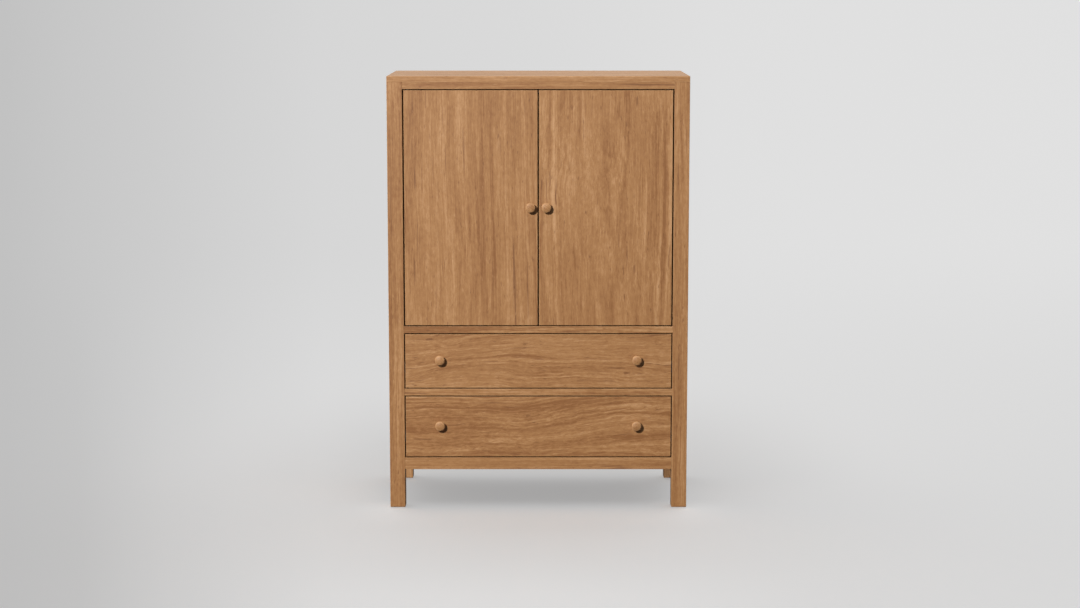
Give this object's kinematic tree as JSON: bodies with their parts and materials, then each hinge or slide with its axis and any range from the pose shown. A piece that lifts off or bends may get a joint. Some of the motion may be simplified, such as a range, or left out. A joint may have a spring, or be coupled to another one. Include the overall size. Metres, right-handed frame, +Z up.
{
  "type": "tv armoire",
  "caption": "Free-standing wooden TV armoire on square legs, with inset slab doors over a shelved bay and inset drawers below, all with round turned knobs.",
  "frame": {"origin": "the middle of the overall box on the floor, the knobs counted in its depth", "axes": "+Z up, +X to the right seen from the front, +Y to the back; the doors face -Y"},
  "size_m": [1.118, 0.585, 1.624],
  "materials": {
    "case_wood": "satin lacquer",
    "front_wood": "satin lacquer",
    "knob_wood": "satin lacquer",
    "drawer_wood": "clear matt",
    "back_board": "matt veneer",
    "slide_steel": "zinc plated",
    "plate_steel": "satin nickel",
    "screw_steel": "zinc plated",
    "bush_brass": "plain",
    "dark_plastic": "matt"
  },
  "bodies": {
    "case": {"bottom_front_rail": "case_wood", "bottom_panel": "back_board", "cabinet_floor": "case_wood", "cable_grommets": "dark_plastic", "case_screws": "screw_steel", "divider_front_rail": "case_wood", "door_catch": "dark_plastic", "front_left_leg": "case_wood", "front_right_leg": "case_wood", "left_side_panel": "case_wood", "left_side_rails": "case_wood", "leg_glides": "dark_plastic", "lower_back_panel": "back_board", "lower_slide_outer_members": "slide_steel", "middle_front_rail": "case_wood", "pivot_plates": "plate_steel", "rear_bottom_rail": "case_wood", "rear_left_leg": "case_wood", "rear_middle_rail": "case_wood", "rear_right_leg": "case_wood", "rear_top_rail": "case_wood", "right_side_panel": "case_wood", "right_side_rails": "case_wood", "shelf": "case_wood", "shelf_pins": "plate_steel", "slide_packers": "drawer_wood", "top_dowels": "drawer_wood", "top_front_rail": "case_wood", "top_panel": "case_wood", "upper_back_panel": "back_board", "upper_slide_outer_members": "slide_steel"},
    "left_door": {"left_door_knob": "knob_wood", "left_door_leaf": "front_wood", "left_door_screws": "screw_steel", "left_door_sockets": "bush_brass", "left_door_strike": "plate_steel"},
    "right_door": {"right_door_knob": "knob_wood", "right_door_leaf": "front_wood", "right_door_screws": "screw_steel", "right_door_sockets": "bush_brass", "right_door_strike": "plate_steel"},
    "upper_drawer": {"upper_drawer_back": "drawer_wood", "upper_drawer_bottom": "drawer_wood", "upper_drawer_front": "front_wood", "upper_drawer_knobs": "knob_wood", "upper_drawer_left_side": "drawer_wood", "upper_drawer_right_side": "drawer_wood", "upper_drawer_screws": "screw_steel", "upper_slide_inner_members": "slide_steel"},
    "lower_drawer": {"lower_drawer_back": "drawer_wood", "lower_drawer_bottom": "drawer_wood", "lower_drawer_front": "front_wood", "lower_drawer_knobs": "knob_wood", "lower_drawer_left_side": "drawer_wood", "lower_drawer_right_side": "drawer_wood", "lower_drawer_screws": "screw_steel", "lower_slide_inner_members": "slide_steel"},
    "upper_slide_middle": {"upper_slide_middle_members": "slide_steel"},
    "lower_slide_middle": {"lower_slide_middle_members": "slide_steel"}
  },
  "joints": [
    {"name": "left_door_hinge", "type": "hinge", "parent": "case", "child": "left_door", "pos_m": [-0.482, -0.2585, 0.693], "axis": [0, 0, -1], "range_deg": [0, 110]},
    {"name": "right_door_hinge", "type": "hinge", "parent": "case", "child": "right_door", "pos_m": [0.482, -0.2585, 0.693], "axis": [0, 0, 1], "range_deg": [0, 110]},
    {"name": "upper_drawer_slide", "type": "slide", "parent": "case", "child": "upper_drawer", "axis": [0, -1, 0], "range_m": [0, 0.4]},
    {"name": "upper_middle_slide", "type": "slide", "parent": "case", "child": "upper_slide_middle", "axis": [0, -1, 0], "range_m": [0, 0.2]},
    {"name": "lower_drawer_slide", "type": "slide", "parent": "case", "child": "lower_drawer", "axis": [0, -1, 0], "range_m": [0, 0.4]},
    {"name": "lower_middle_slide", "type": "slide", "parent": "case", "child": "lower_slide_middle", "axis": [0, -1, 0], "range_m": [0, 0.2]}
  ],
  "couplings": [
    {"joint": "upper_middle_slide", "follows": "upper_drawer_slide", "ratio": 0.5},
    {"joint": "lower_middle_slide", "follows": "lower_drawer_slide", "ratio": 0.5}
  ]
}
